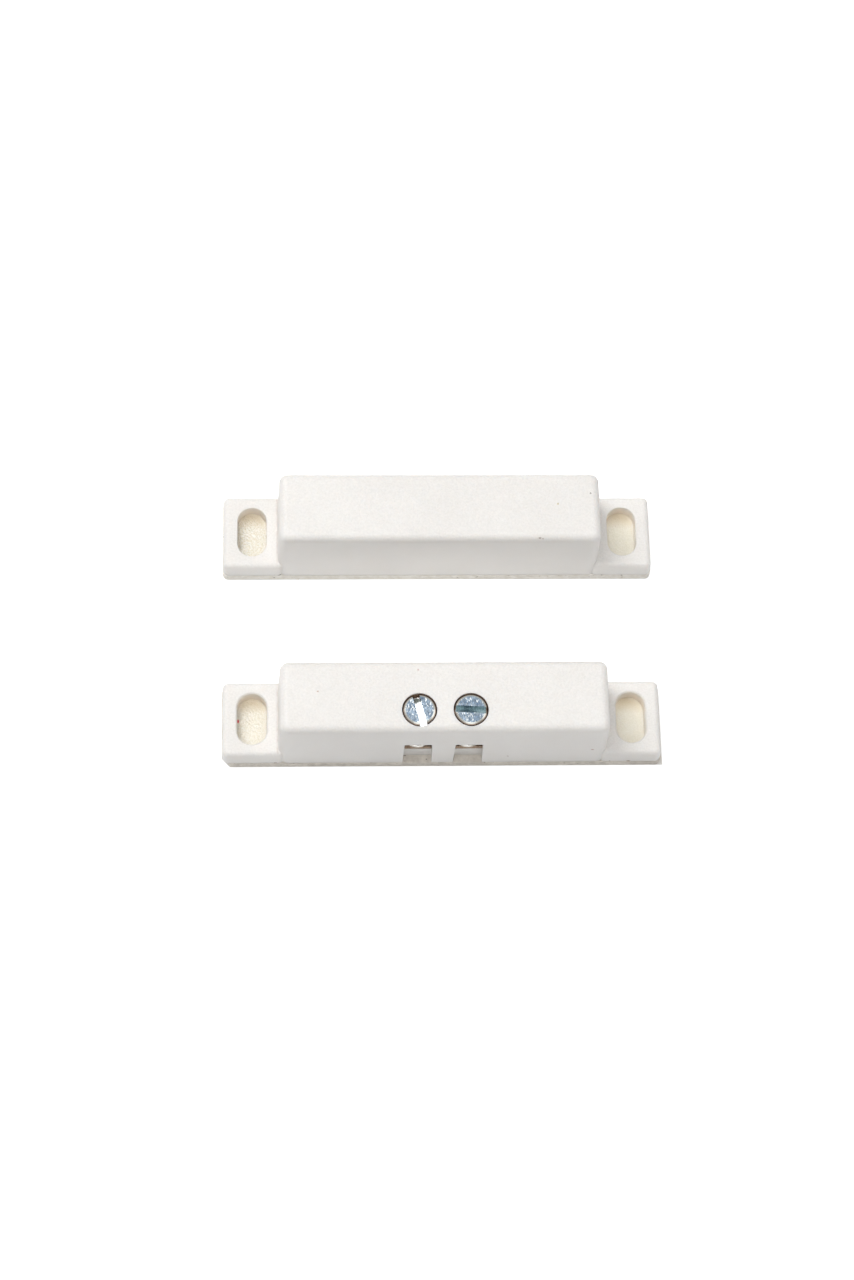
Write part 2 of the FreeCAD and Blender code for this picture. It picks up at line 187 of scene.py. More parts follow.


# White moulded ABS. The top has the fine leathery grain of a spark-eroded mould, which fades on
# the drafted walls. Broad clouds, a darker crease and a few specks keep it from looking new.
# Painted shade lies in the grain's hollows and in the screw holes, and painted warm bounce light
# lies on the slot walls.
def housingMaterial(name):
    material, tree, shader = newMaterial("abs_white_spark_eroded_" + name)
    where = place(tree)
    parts = add(tree, "SeparateXYZ", {0: where})
    colour = mottled(tree, where, housing["cloudSize"], housing["white"], housing["shade"])

    # darker, pinkish brown in patches along the crease where the left ear's top meets the body's
    # end wall
    level = add(tree, "CombineXYZ", {"X": parts.outputs["X"], "Z": parts.outputs["Z"]})
    away = add(tree, "VectorMath", {0: level, 1: (-bodyEnd, 0.0, earTop)}, operation="DISTANCE")
    start, full = housing["creaseReach"]
    near = add(tree, "MapRange", {"Value": away.outputs["Value"], "From Min": start,
                                  "From Max": full})
    cloud = patches(tree, where, housing["creaseCloud"], 0.0, housing["creaseMost"])
    creaseDarkening = add(tree, "Math", {0: near, 1: cloud}, operation="MULTIPLY")
    colour = add(tree, "Mix", {0: creaseDarkening, 6: colour, 7: linear(housing["crease"])},
                 data_type="RGBA").outputs[2]
    for centre, reach, code in marks[name]:
        colour = marked(tree, colour, where, centre, reach, code)

    # painted warm bounce light from the glue on the walls of the slots, strongest low down and
    # towards the back
    slotY = magnetY if name == "magnet_housing" else 0.0
    start, full = housing["slotReach"]
    inside = add(tree, "MapRange", {"Value": slotDistance(tree, where, slotY),
                                    "From Min": slotRadius + start, "From Max": slotRadius + full})
    start, full = housing["slotDepth"]
    deep = add(tree, "MapRange", {"Value": parts.outputs["Z"], "From Min": earTop - start,
                                  "From Max": base + full, "To Min": housing["slotTop"]})
    rear = add(tree, "MapRange", {"Value": parts.outputs["Y"], "From Min": slotY,
                                  "From Max": slotY + housing["slotRear"],
                                  "To Min": housing["slotFront"]})
    warm = add(tree, "Math", {0: inside, 1: deep}, operation="MULTIPLY")
    warm = add(tree, "Math", {0: warm, 1: rear}, operation="MULTIPLY")
    colour = add(tree, "Mix", {0: warm, 6: colour, 7: linear(housing["slotBounce"])},
                 data_type="RGBA").outputs[2]

    # painted brown shade on the walls of the screw holes, below their upper edge
    if name == "switch_housing":
        out, wall = housing["boreRadius"]
        top, full = housing["boreHeight"]
        for x in (-terminalX, terminalX):
            inside = add(tree, "MapRange", {"Value": axisDistance(tree, where, x, terminalY),
                                            "From Min": out, "From Max": wall})
            below = add(tree, "MapRange", {"Value": parts.outputs["Z"], "From Min": top,
                                           "From Max": full})
            boreShade = add(tree, "Math", {0: inside, 1: below}, operation="MULTIPLY")
            colour = add(tree, "Mix", {0: boreShade, 6: colour, 7: linear(housing["bore"])},
                         data_type="RGBA").outputs[2]

    # the grain, whose hollows are both lower and darker with painted shade
    facing = add(tree, "SeparateXYZ", {0: add(tree, "TexCoord").outputs["Normal"]}).outputs["Z"]
    start, full = housing["grainFacing"]
    upward = add(tree, "MapRange", {"Value": facing, "From Min": start, "From Max": full,
                                    "To Min": housing["wallGrain"]})
    grain = patches(tree, where, housing["grainSize"], -0.5, 0.5, edges=(0.2, 0.8))
    height = add(tree, "Math", {0: grain, 1: upward}, operation="MULTIPLY")
    tone = add(tree, "MapRange", {"Value": height, "From Min": -0.5, "From Max": 0.5,
                                  "To Min": 1 - housing["grainTone"]})
    colour = add(tree, "VectorMath", {0: colour, "Scale": tone}, operation="SCALE")
    tree.links.new(colour.outputs[0], shader.inputs["Base Color"])
    raised = add(tree, "Bump", {"Height": height, "Distance": housing["grainDepth"] * mm})
    tree.links.new(raised.outputs[0], shader.inputs["Normal"])
    rough = patches(tree, where, housing["roughnessSize"], *housing["roughness"])
    tree.links.new(rough, shader.inputs["Roughness"])
    shader.inputs["Subsurface Weight"].default_value = housing["glow"]
    shader.inputs["Subsurface Radius"].default_value = housing["glowTint"]
    shader.inputs["Subsurface Scale"].default_value = housing["glowReach"] * mm
    return material


for name in marks:
    dress(name, housingMaterial(name))
print("housings dressed")

insert = {"white": "F6F4F1", "shade": "EEECE9", "cloudSize": 4.0, "roughness": (0.35, 0.5),
          "roughnessSize": 0.8, "dimple": 0.5, "dimpleDepth": 0.01}


# Plain moulded ABS without the grain, a little greyer and glossier than the housing
def insertMaterial():
    material, tree, shader = newMaterial("abs_white_plain_moulded")
    where = place(tree)
    colour = mottled(tree, where, insert["cloudSize"], insert["white"], insert["shade"])
    tree.links.new(colour, shader.inputs["Base Color"])
    rough = patches(tree, where, insert["roughnessSize"], *insert["roughness"])
    tree.links.new(rough, shader.inputs["Roughness"])
    raised = add(tree, "Bump", {"Height": patches(tree, where, insert["dimple"]),
                                "Distance": insert["dimpleDepth"] * mm})
    tree.links.new(raised.outputs[0], shader.inputs["Normal"])
    return material


# The crystals of a plated coat: a tone for each, and a direction in which each leans. The
# pattern is drawn about three times as coarse as real plating, so that it shows in the render.
# stretch is how many times longer than wide they are, and turn their direction in radians.
def crystals(tree, where, size, stretch, turn=0.9):
    turned = add(tree, "Mapping", {"Vector": where, "Rotation": (0.0, 0.0, turn),
                                   "Scale": (1.0, 1 / stretch, 1.0)})
    cells = add(tree, "TexVoronoi", {"Vector": turned, "Scale": 1 / size})
    tone = add(tree, "SeparateXYZ", {0: cells.outputs["Color"]})
    leaning = add(tree, "VectorMath", {0: cells.outputs["Color"], 1: (0.5, 0.5, 0.5)},
                  operation="SUBTRACT")
    return tone.outputs[0], leaning.outputs[0]


# light and dark are the tones of single crystals; size is theirs in mm, lean how far they tip
plating = {
    "washer": {"name": "zinc_plate_bright", "light": "F2F2EE", "dark": "CFCDC6", "size": 0.16,
               "stretch": 1.0, "lean": 0.2, "roughness": (0.34, 0.48), "stain": "B9B3A8"},
    "plate": {"name": "nickel_plate_dull_stained", "light": "AE9C88", "dark": "887260",
              "size": 0.18, "stretch": 1.0, "lean": 0.25, "roughness": (0.36, 0.52),
              "stain": "7A6450"},
    "reed": {"name": "nickel_iron_satin", "light": "C9C7C2", "dark": "A8A6A0", "size": 0.15,
             "stretch": 3.0, "lean": 0.1, "roughness": (0.28, 0.4), "stain": "A09C92"},
    "solder": {"name": "solder_tin_smooth", "light": "D2D2CF", "dark": "B2B2AE", "size": 0.4,
               "stretch": 1.0, "lean": 0.1, "roughness": (0.2, 0.34), "stain": "A8A8A4"},
}
# What all four share, in mm: stains, dimples and patches of roughness
platedWear = {"stainSize": 0.7, "stainEdges": (0.5, 0.7), "dimple": 0.25, "dimpleDepth": 0.01,
              "roughnessSize": 1.1}


# Plated metal: single crystals flash as they lean their own way, and stains dull it in patches
def platedMaterial(look):
    material, tree, shader = newMaterial(look["name"])
    where = place(tree)
    shader.inputs["Metallic"].default_value = 1.0
    tone, leaning = crystals(tree, where, look["size"], look["stretch"])
    colour = add(tree, "Mix", {0: tone, 6: linear(look["dark"]), 7: linear(look["light"])},
                 data_type="RGBA").outputs[2]
    stained = patches(tree, where, platedWear["stainSize"], detail=3.0,
                      edges=platedWear["stainEdges"])
    colour = add(tree, "Mix", {0: stained, 6: colour, 7: linear(look["stain"])},
                 data_type="RGBA").outputs[2]
    tree.links.new(colour, shader.inputs["Base Color"])
    leaning = add(tree, "VectorMath", {0: leaning, "Scale": look["lean"]}, operation="SCALE")
    normal = add(tree, "VectorMath", {0: add(tree, "NewGeometry").outputs["Normal"], 1: leaning},
                 operation="ADD")
    normal = add(tree, "VectorMath", {0: normal}, operation="NORMALIZE")
    raised = add(tree, "Bump", {"Height": patches(tree, where, platedWear["dimple"], detail=3.0),
                                "Distance": platedWear["dimpleDepth"] * mm, "Normal": normal})
    tree.links.new(raised.outputs[0], shader.inputs["Normal"])
    rough = patches(tree, where, platedWear["roughnessSize"], *look["roughness"])
    tree.links.new(rough, shader.inputs["Roughness"])
    return material


# light and dark are the tones of single crystals, flash a painted glint on some of them, and size,
# stretch and lean are theirs too. onRing, inSlot and onBarrel are the radii and heights in mm
# between which each of them starts. slotLean tips the sawn floor of a slot, which then mirrors
# another part of
# the studio. slot is painted light: a painted bright reflection on the left, painted shade on the
# right. patch is the middle of a painted dark reflection in the slot.
screw = {
    "light": "98A5B0", "dark": "3E5064", "flash": "E6ECEE", "ring": "ACADA8", "barrel": "75665B",
    "size": 0.11, "stretch": 2.4, "lean": 0.14, "plainLean": 0.25, "toneShare": 0.6,
    "cloudSize": 0.8, "cloudShare": 0.45, "flashWidth": 0.04,
    "roughness": (0.2, 0.32), "roughnessSize": 0.7,
    "onRing": (1.95, 2.0), "inSlot": (13.16, 13.06), "onBarrel": (2.12, 2.24),
    "left": {"x": -terminalX, "slot": "F2F6F7", "slotLean": (-0.2, -0.04, 0.0), "flashFrom": 0.85,
             "patch": (-4.0, -0.42, 12.3), "patchReach": (0.8, 0.62, 1.2), "patchColour": "323431"},
    "right": {"x": terminalX, "slot": "7E9094", "slotLean": (0.0, 0.0, 0.0), "flashFrom": 0.9,
              "patch": (3.1, -2.2, 12.2), "patchReach": (1.6, 0.6, 0.25), "patchColour": "3E4E56"},
}


# Zinc plate with a blue passivation. The milled flat is speckled blue with painted white glints,
# the turned bevel round it is paler and plain, and the barrel below is painted with a dark
# reflection of the shaded hole. The slot's colour is painted light, a bright reflection on the left
# screw and shade on the right.
def screwMaterial(side):
    own = screw[side]
    material, tree, shader = newMaterial("zinc_plate_blue_" + side)
    where = place(tree)
    shader.inputs["Metallic"].default_value = 1.0
    tone, leaning = crystals(tree, where, screw["size"], screw["stretch"])
    cloud = patches(tree, where, screw["cloudSize"], 0.0, screw["cloudShare"], detail=3.0)
    share = add(tree, "Math", {0: tone, 1: screw["toneShare"]}, operation="MULTIPLY")
    share = add(tree, "Math", {0: share, 1: cloud}, operation="ADD")
    colour = add(tree, "Mix", {0: share, 6: linear(screw["dark"]), 7: linear(screw["light"])},
                 data_type="RGBA").outputs[2]
    # painted white glints on the crystals with the highest tones
    flash = add(tree, "MapRange", {"Value": tone, "From Min": own["flashFrom"],
                                   "From Max": own["flashFrom"] + screw["flashWidth"]})
    colour = add(tree, "Mix", {0: flash, 6: colour, 7: linear(screw["flash"])},
                 data_type="RGBA").outputs[2]

    radius = axisDistance(tree, where, own["x"], terminalY)
    height = add(tree, "SeparateXYZ", {0: where}).outputs["Z"]
    start, full = screw["onRing"]
    onRing = add(tree, "MapRange", {"Value": radius, "From Min": start, "From Max": full})
    start, full = screw["inSlot"]
    inSlot = add(tree, "MapRange", {"Value": height, "From Min": start, "From Max": full})
    start, full = screw["onBarrel"]
    onBarrel = add(tree, "MapRange", {"Value": radius, "From Min": start, "From Max": full})
    # the ring is plain, and the slot's colour is painted light: a bright reflection on the left
    # screw, shade on the right
    for share, code in ((onRing, screw["ring"]), (inSlot, own["slot"])):
        colour = add(tree, "Mix", {0: share, 6: colour, 7: linear(code)},
                     data_type="RGBA").outputs[2]
    # a painted dark reflection in the slot
    colour = marked(tree, colour, where, own["patch"], own["patchReach"], own["patchColour"])
    # the barrel carries a painted dark reflection of the shaded hole
    colour = add(tree, "Mix", {0: onBarrel, 6: colour, 7: linear(screw["barrel"])},
                 data_type="RGBA").outputs[2]
    tree.links.new(colour, shader.inputs["Base Color"])

    plain = add(tree, "Math", {0: onRing, 1: inSlot}, operation="MAXIMUM")
    amount = add(tree, "MapRange", {"Value": plain, "To Min": screw["lean"],
                                    "To Max": screw["lean"] * screw["plainLean"]})
    leaning = add(tree, "VectorMath", {0: leaning, "Scale": amount}, operation="SCALE")
    tipped = add(tree, "VectorMath", {0: own["slotLean"], "Scale": inSlot}, operation="SCALE")
    normal = add(tree, "VectorMath", {0: add(tree, "NewGeometry").outputs["Normal"], 1: leaning},
                 operation="ADD")
    normal = add(tree, "VectorMath", {0: normal, 1: tipped}, operation="ADD")
    normal = add(tree, "VectorMath", {0: normal}, operation="NORMALIZE")
    tree.links.new(normal.outputs[0], shader.inputs["Normal"])
    rough = patches(tree, where, screw["roughnessSize"], *screw["roughness"])
    tree.links.new(rough, shader.inputs["Roughness"])
    return material


# along is under 1, which draws the lines out along the capsule
glass = {"clear": "D9EBDD", "green": "CBE3D2", "lineWidth": 0.3, "along": 0.08, "lineDepth": 0.05,
         "roughness": (0.02, 0.08), "transmission": 0.9, "ior": 1.5}


# Pale green soda glass, with faint draw lines along the capsule
def glassMaterial():
    material, tree, shader = newMaterial("soda_glass_drawn")
    where = place(tree)
    stretched = add(tree, "Mapping", {"Vector": where, "Scale": (glass["along"], 1.0, 1.0)})
    lengthwise = stretched.outputs[0]
    colour = mottled(tree, lengthwise, glass["lineWidth"], glass["clear"], glass["green"])
    tree.links.new(colour, shader.inputs["Base Color"])
    shader.inputs["Transmission Weight"].default_value = glass["transmission"]
    shader.inputs["IOR"].default_value = glass["ior"]
    lines = patches(tree, lengthwise, glass["lineWidth"], *glass["roughness"])
    tree.links.new(lines, shader.inputs["Roughness"])
    raised = add(tree, "Bump", {"Height": lines, "Distance": glass["lineDepth"] * mm})
    tree.links.new(raised.outputs[0], shader.inputs["Normal"])
    return material


# along is under 1, which draws the scratches out along the bar
magnet = {"dark": "4B4845", "light": "6B6763", "scratchWidth": 0.12, "along": 0.05,
          "scratchDepth": 0.01, "roughness": (0.4, 0.6), "metallic": 0.8}


# Cast magnet alloy, dark, with the fine parallel scratches of its grinding
def magnetMaterial():
    material, tree, shader = newMaterial("magnet_alloy_ground")
    where = place(tree)
    shader.inputs["Metallic"].default_value = magnet["metallic"]
    stretched = add(tree, "Mapping", {"Vector": where, "Scale": (magnet["along"], 1.0, 1.0)})
    lengthwise = stretched.outputs[0]
    width = magnet["scratchWidth"]
    colour = mottled(tree, lengthwise, width, magnet["dark"], magnet["light"])
    tree.links.new(colour, shader.inputs["Base Color"])
    rough = patches(tree, lengthwise, width, *magnet["roughness"])
    tree.links.new(rough, shader.inputs["Roughness"])
    raised = add(tree, "Bump", {"Height": patches(tree, lengthwise, width),
                                "Distance": magnet["scratchDepth"] * mm})
    tree.links.new(raised.outputs[0], shader.inputs["Normal"])
    return material


liner = {"white": "F7F6F2", "shade": "EDEAE3", "fibre": 0.25, "fibreDepth": 0.01,
         "roughness": (0.35, 0.55)}


# Waxed release paper with faint fibres
def linerMaterial():
    material, tree, shader = newMaterial("paper_waxed_release")
    where = place(tree)
    colour = mottled(tree, where, liner["fibre"], liner["white"], liner["shade"], detail=4.0)
    tree.links.new(colour, shader.inputs["Base Color"])
    rough = patches(tree, where, liner["fibre"], *liner["roughness"])
    tree.links.new(rough, shader.inputs["Roughness"])
    raised = add(tree, "Bump", {"Height": patches(tree, where, liner["fibre"], detail=4.0),
                                "Distance": liner["fibreDepth"] * mm})
    tree.links.new(raised.outputs[0], shader.inputs["Normal"])
    return material


washerZinc = platedMaterial(plating["washer"])
plateNickel = platedMaterial(plating["plate"])
reedAlloy = platedMaterial(plating["reed"])
solderTin = platedMaterial(plating["solder"])
for side in ("left", "right"):
    dress("terminal_screw_" + side, screwMaterial(side))
    dress("clamp_washer_" + side, washerZinc)
    dress("terminal_plate_" + side, plateNickel)
    dress("reed_blade_" + side, reedAlloy)
    dress("solder_joint_" + side, solderTin)
dress("reed_glass", glassMaterial())
dress("bar_magnet", magnetMaterial())
insertWhite = insertMaterial()
linerPaper = linerMaterial()
for half in ("switch", "magnet"):
    dress(half + "_base_insert", insertWhite)
    dress(half + "_release_liner", linerPaper)
print("metal, glass and paper dressed")


def addPiece(name, mesh, material):
    data = bpy.data.meshes.new(name)
    mesh.to_mesh(data)
    mesh.free()
    data.materials.append(material)
    piece = bpy.data.objects.new(name, data)
    bpy.context.scene.collection.objects.link(piece)
    return piece


# Sizes and depths are in mm. switch and magnet are the two colours of each pad, speckSquash draws
# the specks long and flat, and dentsAlong and dentsUp are how many dents a millimetre has.
foam = {
    "switch": ("F0EAE0", "D4CDC3"), "magnet": ("FBF8F2", "ECE7DD"), "mottle": 0.9,
    "speck": "6E5846", "speckSize": 0.42, "speckSquash": (0.6, 1.0, 1.4), "speckMost": 0.8,
    "speckEdges": (0.7, 0.76), "cell": 0.18, "cellDepth": 0.03,
    "roughness": (0.75, 0.95), "roughnessSize": 0.8,
    "margin": 0.1, "corner": 0.8, "cornerSteps": 6, "clip": 1.2, "stepLength": 0.22, "layers": 6,
    "dent": 0.04, "dentsAlong": 3, "dentsUp": 4,
}


# Closed-cell foam with a cut edge: mottled cream and grey cells with small pits, and dark
# specks of dirt that the glue has picked up
def foamMaterial(half):
    material, tree, shader = newMaterial("polyethylene_foam_cut_edge_" + half)
    where = place(tree)
    colour = mottled(tree, where, foam["mottle"], *foam[half])
    flat = add(tree, "Mapping", {"Vector": where, "Scale": foam["speckSquash"]})
    specks = patches(tree, flat.outputs[0], foam["speckSize"], 0.0, foam["speckMost"], detail=1.0,
                     edges=foam["speckEdges"])
    colour = add(tree, "Mix", {0: specks, 6: colour, 7: linear(foam["speck"])},
                 data_type="RGBA").outputs[2]
    tree.links.new(colour, shader.inputs["Base Color"])
    rough = patches(tree, where, foam["roughnessSize"], *foam["roughness"])
    tree.links.new(rough, shader.inputs["Roughness"])
    cells = add(tree, "TexVoronoi", {"Vector": where, "Scale": 1 / foam["cell"]})
    raised = add(tree, "Bump", {"Height": cells, "Distance": foam["cellDepth"] * mm})
    tree.links.new(raised.outputs[0], shader.inputs["Normal"])
    return material


# Outline of a pad, counter-clockwise from the front right corner, with its points a step apart
def padOutline(clipped):
    halfX = halfLength + foam["margin"]
    halfY = halfDepth + foam["margin"]
    inner = foam["corner"]
    corners = []
    for sx, sy in ((1, -1), (1, 1), (-1, 1), (-1, -1)):
        if clipped and (sx, sy) == (-1, -1):
            corners += [(-halfX, foam["clip"] - halfY), (foam["clip"] - halfX, -halfY)]
            continue
        start = math.atan2(sy, sx) - math.pi / 4
        for i in range(foam["cornerSteps"] + 1):
            turn = start + math.pi / 2 * i / foam["cornerSteps"]
            corners.append((sx * (halfX - inner) + inner * math.cos(turn),
                            sy * (halfY - inner) + inner * math.sin(turn)))
    points = []
    for a, b in zip(corners, corners[1:] + corners[:1]):
        a, b = Vector(a), Vector(b)
        count = max(1, round((b - a).length / foam["stepLength"]))
        points += [a.lerp(b, i / count) for i in range(count)]
    return points


# The cut edge is dented by open cells, and only inwards, so the pad stays in its own space. The
# dents fade out towards its top and bottom.
def foamPad(name, replaced, shiftY, clipped, seed, material):
    outline = padOutline(clipped)
    innerX = halfLength + foam["margin"] - foam["corner"]
    innerY = halfDepth + foam["margin"] - foam["corner"]
    mesh = bmesh.new()
    rings = []
    for layer in range(foam["layers"] + 1):
        share = layer / foam["layers"]
        z = linerTop + (base - linerTop) * share
        ring = []
        for p in outline:
            cell = noise.noise(Vector((p.x * foam["dentsAlong"] + seed, p.y * foam["dentsAlong"],
                                       z * foam["dentsUp"])))
            dent = foam["dent"] * (0.5 + 0.5 * cell) * math.sin(math.pi * share) ** 0.5
            kept = Vector((max(-innerX, min(innerX, p.x)), max(-innerY, min(innerY, p.y))))
            q = p - (p - kept).normalized() * dent
            ring.append(mesh.verts.new((q.x * mm, (q.y + shiftY) * mm, z * mm)))
        rings.append(ring)
    count = len(outline)
    for lower, upper in zip(rings, rings[1:]):
        for i in range(count):
            j = (i + 1) % count
            mesh.faces.new((lower[i], lower[j], upper[j], upper[i])).smooth = True
    mesh.faces.new(rings[-1])
    mesh.faces.new(list(reversed(rings[0])))
    piece = addPiece(name, mesh, material)
    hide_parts(replaced)
    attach(piece, "housing_pair")


# A plug has so many rings, and so many points around each. The glue climbs the walls by meniscus
# mm, from the share meniscusFrom of the way out, and sunk is how far the plug reaches into the
# foam. fractal is the fall, step and number of the noise's octaves. The painted brown shade along
# the walls is edgeWidth mm wide, and rear is how far behind the slot's middle the painted shade at
# the back starts and is full.
glue = {
    "rings": 30, "around": 150, "lumpWidth": 0.32, "fractal": (0.8, 2.2, 3), "sunk": 0.02,
    "meniscus": 0.15, "meniscusFrom": 0.84, "edge": "DCC9A8", "edgeWidth": 0.6, "edgeMost": 0.15,
    "rear": (1.4, 3.8), "rearMost": 0.9, "glow": 0.4, "glowReach": 1.0, "glowTint": (1.0, 0.9, 0.7),
    "coat": 0.6, "coatRoughness": 0.08, "roughness": (0.3, 0.6),
    "speck": (-29.48, 0.42, 1.95), "speckReach": (0.16, 0.26, 0.5), "speckColour": "E0182C",
}
# level is the plug's height at its edge, crown how much higher its middle is, lift and lump the
# height and width of its lumps, and depth that of the finest ones, in mm. The two left plugs are
# torn and lumpy.
plugs = {
    "switch_glue_left": {
        "x": -slotX, "y": 0.0, "level": 0.55, "crown": 0.12, "lift": 0.05, "lump": 0.19,
        "depth": 0.06, "cream": "EFEBE0", "shade": "E4DCC9", "seed": 1.0},
    "switch_glue_right": {
        "x": slotX, "y": 0.0, "level": 0.5, "crown": 0.08, "lift": 0.02, "lump": 0.14,
        "depth": 0.07, "cream": "FBF5E6", "shade": "F3ECDA", "seed": 2.0},
    "magnet_glue_left": {
        "x": -slotX, "y": magnetY, "level": 0.6, "crown": 0.15, "lift": 0.09, "lump": 0.22,
        "depth": 0.1, "cream": "F6F3EB", "shade": "E3DAC4", "seed": 3.0},
    "magnet_glue_right": {
        "x": slotX, "y": magnetY, "level": 0.6, "crown": 0.12, "lift": 0.03, "lump": 0.15,
        "depth": 0.07, "cream": "FBF5E6", "shade": "F3ECDA", "seed": 4.0},
}


# Acrylic adhesive on the foam, seen in the slots: cream, glossy and lumpy, so it sparkles
def adhesiveMaterial(name, look):
    material, tree, shader = newMaterial("acrylic_adhesive_cream_" + name)
    y = look["y"]
    where = place(tree)
    # cream mottled at the lumps' size with painted shade, which makes the lumps show
    colour = mottled(tree, where, look["lump"], look["cream"], look["shade"], edges=(0.35, 0.65))

    # painted brown shade where it meets the walls, most of all at the back
    parts = add(tree, "SeparateXYZ", {0: where})
    edge = add(tree, "MapRange", {"Value": slotDistance(tree, where, y),
                                  "From Min": slotRadius - glue["edgeWidth"],
                                  "From Max": slotRadius, "To Max": glue["edgeMost"]})
    start, full = glue["rear"]
    rear = add(tree, "MapRange", {"Value": parts.outputs["Y"], "From Min": y + start,
                                  "From Max": y + full, "To Max": glue["rearMost"]})
    brown = add(tree, "Math", {0: edge, 1: rear}, operation="MAXIMUM")
    colour = add(tree, "Mix", {0: brown, 6: colour, 7: linear(glue["edge"])},
                 data_type="RGBA").outputs[2]
    if name == "switch_glue_left":
        colour = marked(tree, colour, where, glue["speck"], glue["speckReach"], glue["speckColour"])
    tree.links.new(colour, shader.inputs["Base Color"])
    shader.inputs["Subsurface Weight"].default_value = glue["glow"]
    shader.inputs["Subsurface Radius"].default_value = glue["glowTint"]
    shader.inputs["Subsurface Scale"].default_value = glue["glowReach"] * mm
    shader.inputs["Coat Weight"].default_value = glue["coat"]
    shader.inputs["Coat Roughness"].default_value = glue["coatRoughness"]
    rough = patches(tree, where, look["lump"], *glue["roughness"])
    tree.links.new(rough, shader.inputs["Roughness"])
    lumps = patches(tree, where, look["lump"], detail=4.0, edges=(0.2, 0.8))
    raised = add(tree, "Bump", {"Height": lumps, "Distance": look["depth"] * mm})
    tree.links.new(raised.outputs[0], shader.inputs["Normal"])
    return material


# Points spaced evenly along a slot's outline, counter-clockwise
def slotOutline(count):
    arc = math.pi * slotRadius
    side = 2 * slotStraight
    points = []
    for i in range(count):
        along = 2 * (arc + side) * i / count
        sign = 1 if along < arc + side else -1
        along %= arc + side
        if along < side:
            x, y = slotRadius, along - slotStraight
        else:
            turn = (along - side) / slotRadius
            x, y = slotRadius * math.cos(turn), slotStraight + slotRadius * math.sin(turn)
        points.append((sign * x, sign * y))
    return points


# The glued foam that the ear has pressed up into one slot: a closed plug, crowned and lumpy,
# whose glue climbs a little up the walls
def gluePlug(name, own):
    x, y, seed = own["x"], own["y"], own["seed"]
    around, lumpSize = glue["around"], glue["lumpWidth"]
    outline = slotOutline(around)
    mesh = bmesh.new()
    rings = []
    for r in range(1, glue["rings"] + 1):
        share = r / glue["rings"]
        lumpy = 1 - share ** 6  # no lumps at the wall itself
        climb = max(0.0, (share - glue["meniscusFrom"]) / (1 - glue["meniscusFrom"])) ** 2
        ring = []
        for edgeX, edgeY in outline:
            px, py = edgeX * share, edgeY * share
            lumps = noise.fractal(Vector(((px + x) / lumpSize, (py + seed) / lumpSize, 0)),
                                  *glue["fractal"])
            z = base + own["level"] + own["crown"] * (1 - share ** 2)
            z += own["lift"] * lumps * lumpy
            z += glue["meniscus"] * climb
            ring.append(mesh.verts.new(((x + px) * mm, (y + py) * mm, z * mm)))
        rings.append(ring)
    foot = [mesh.verts.new((v.co.x, v.co.y, (base - glue["sunk"]) * mm)) for v in rings[-1]]
    for inner, outer in zip(rings, rings[1:] + [foot]):
        for i in range(around):
            j = (i + 1) % around
            mesh.faces.new((inner[i], outer[i], outer[j], inner[j])).smooth = True
    middle = mesh.verts.new((x * mm, y * mm, sum(v.co.z for v in rings[0]) / len(rings[0])))
    for i in range(around):
        mesh.faces.new((middle, rings[0][i], rings[0][(i + 1) % around])).smooth = True
    mesh.faces.new(list(reversed(foot)))
    for i in range(around):
        mesh.edges.get((rings[-1][i], rings[-1][(i + 1) % around])).smooth = False
    piece = addPiece(name, mesh, adhesiveMaterial(name, own))
    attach(piece, "housing_pair")


foamPad("switch_foam", "switch_foam_pad", shiftY=0.0, clipped=True, seed=3.0,
        material=foamMaterial("switch"))
foamPad("magnet_foam", "magnet_foam_pad", shiftY=magnetY, clipped=False, seed=11.0,
        material=foamMaterial("magnet"))
for name, own in plugs.items():
    gluePlug(name, own)
print("foam pads and glue built")

# Places and sizes of the studio are in metres. lift is how much brighter than lit the card looks,
# and sky the strength of the even light. The lamps point at aim, the middle between the halves.
studio = {"floorSize": 1.4, "lift": 0.5, "sky": 0.06}
card = {"white": "FAFAFA", "shade": "F7F7F7", "cloudSize": 30.0, "roughness": (0.85, 0.95)}
softboxes = {
    "softbox_top": {"place": (-0.12, -0.03, 0.9), "size": 0.6, "power": 2.85},
    "softbox_back_left": {"place": (-0.42, 0.34, 0.73), "size": 0.6, "power": 4.2},
    "softbox_right": {"place": (0.68, 0.1, 0.6), "size": 0.6, "power": 1.5},
    "softbox_front": {"place": (0.0, -0.5, 0.75), "size": 0.6, "power": 1.4},
}
aim = (0.0, magnetY / 2 * mm, 0.0)


# 1 for what the camera sees, straight or in a mirror or glass
def seenRays(tree):
    path = add(tree, "LightPath")
    shiny = add(tree, "Math", {0: path.outputs["Is Glossy Ray"],
                               1: path.outputs["Is Transmission Ray"]}, operation="MAXIMUM")
    return add(tree, "Math", {0: path.outputs["Is Camera Ray"], 1: shiny}, operation="MAXIMUM")


# Matt white card. It looks a little brighter than it is lit, so that only the shadow close to
# the object shows, as in the photo.
def cardMaterial():
    material, tree, shader = newMaterial("card_white_matt")
    where = place(tree)
    colour = mottled(tree, where, card["cloudSize"], card["white"], card["shade"])
    tree.links.new(colour, shader.inputs["Base Color"])
    rough = patches(tree, where, card["cloudSize"], *card["roughness"])
    tree.links.new(rough, shader.inputs["Roughness"])
    shader.inputs["Emission Color"].default_value = (1.0, 1.0, 1.0, 1.0)
    lifted = add(tree, "Math", {0: seenRays(tree), 1: studio["lift"]}, operation="MULTIPLY")
    tree.links.new(lifted.outputs[0], shader.inputs["Emission Strength"])
    return material


def floorCard():
    half = studio["floorSize"] / 2
    mesh = bmesh.new()
    mesh.faces.new([mesh.verts.new((x, y, 0)) for x, y in
                    ((-half, -half), (half, -half), (half, half), (-half, half))])
    addPiece("floor_card", mesh, cardMaterial())


floorCard()

